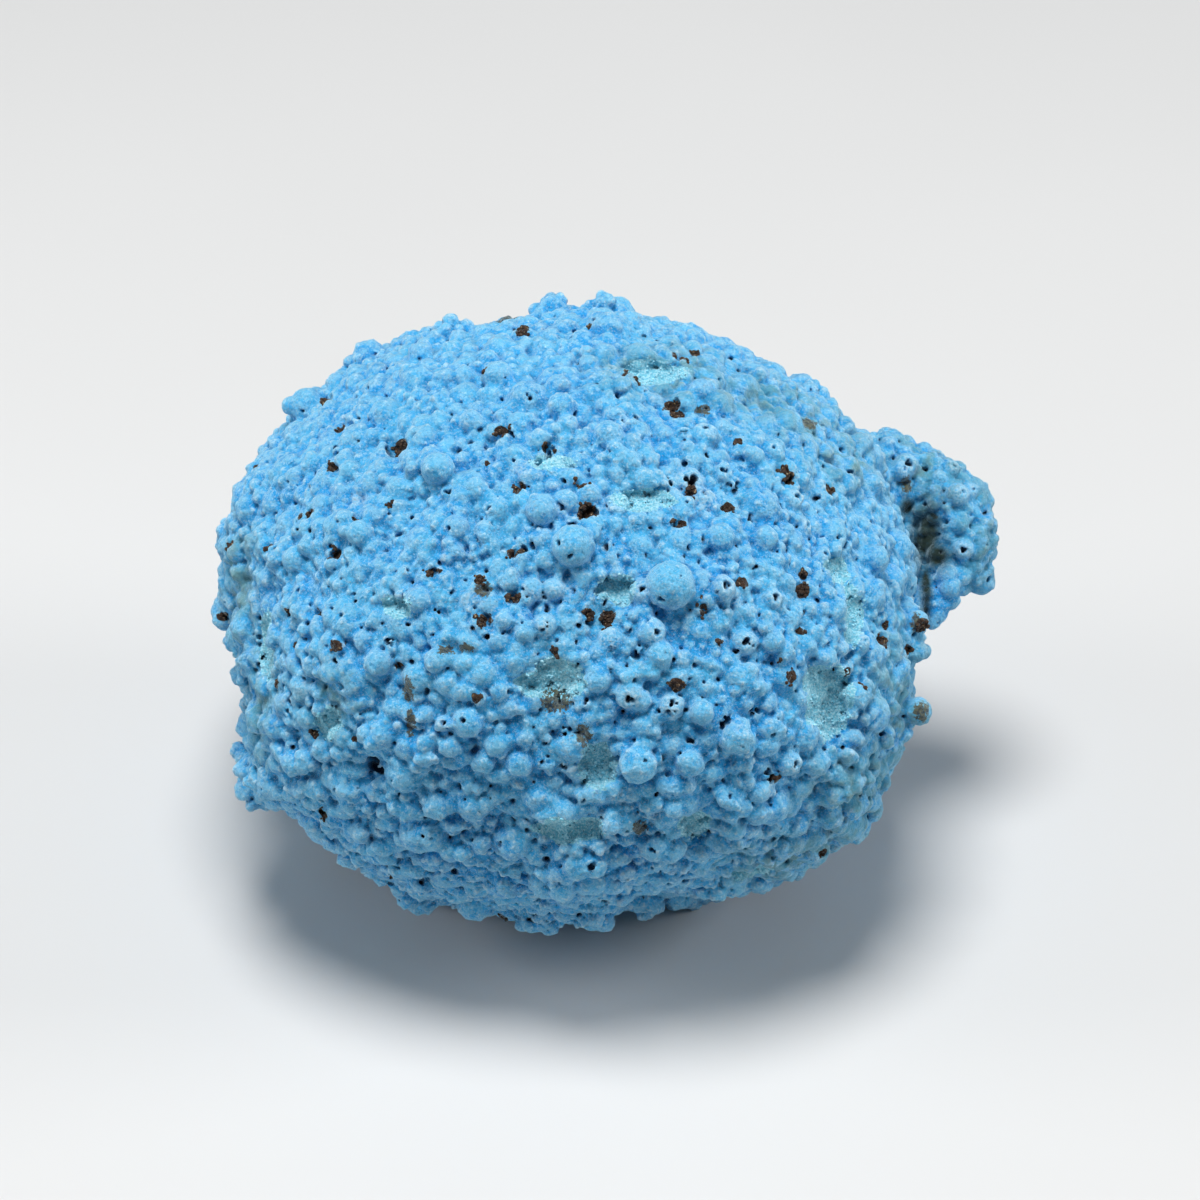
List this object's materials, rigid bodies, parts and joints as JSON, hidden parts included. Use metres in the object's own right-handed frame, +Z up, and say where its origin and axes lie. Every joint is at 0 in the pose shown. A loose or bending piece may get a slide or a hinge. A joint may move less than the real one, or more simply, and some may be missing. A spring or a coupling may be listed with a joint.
{
  "type": "shattuckite mineral specimen",
  "caption": "Rounded sky-blue nodule of fused spherules with a hooked knob on one side, which rests on the flats under its lumps.",
  "frame": {"origin": "middle of the nodule's outline seen from above, on the surface that it rests on", "axes": "+Z up, +X towards the knob, -Y towards the side that the picture shows"},
  "size_m": [0.0441, 0.0389, 0.0322],
  "materials": {
    "shattuckite": "matt, fine-grained sky-blue crust with pale rims, green-blue hollows and brown specks"
  },
  "bodies": {
    "root": {"shattuckite_nodule": "shattuckite"}
  },
  "joints": []
}
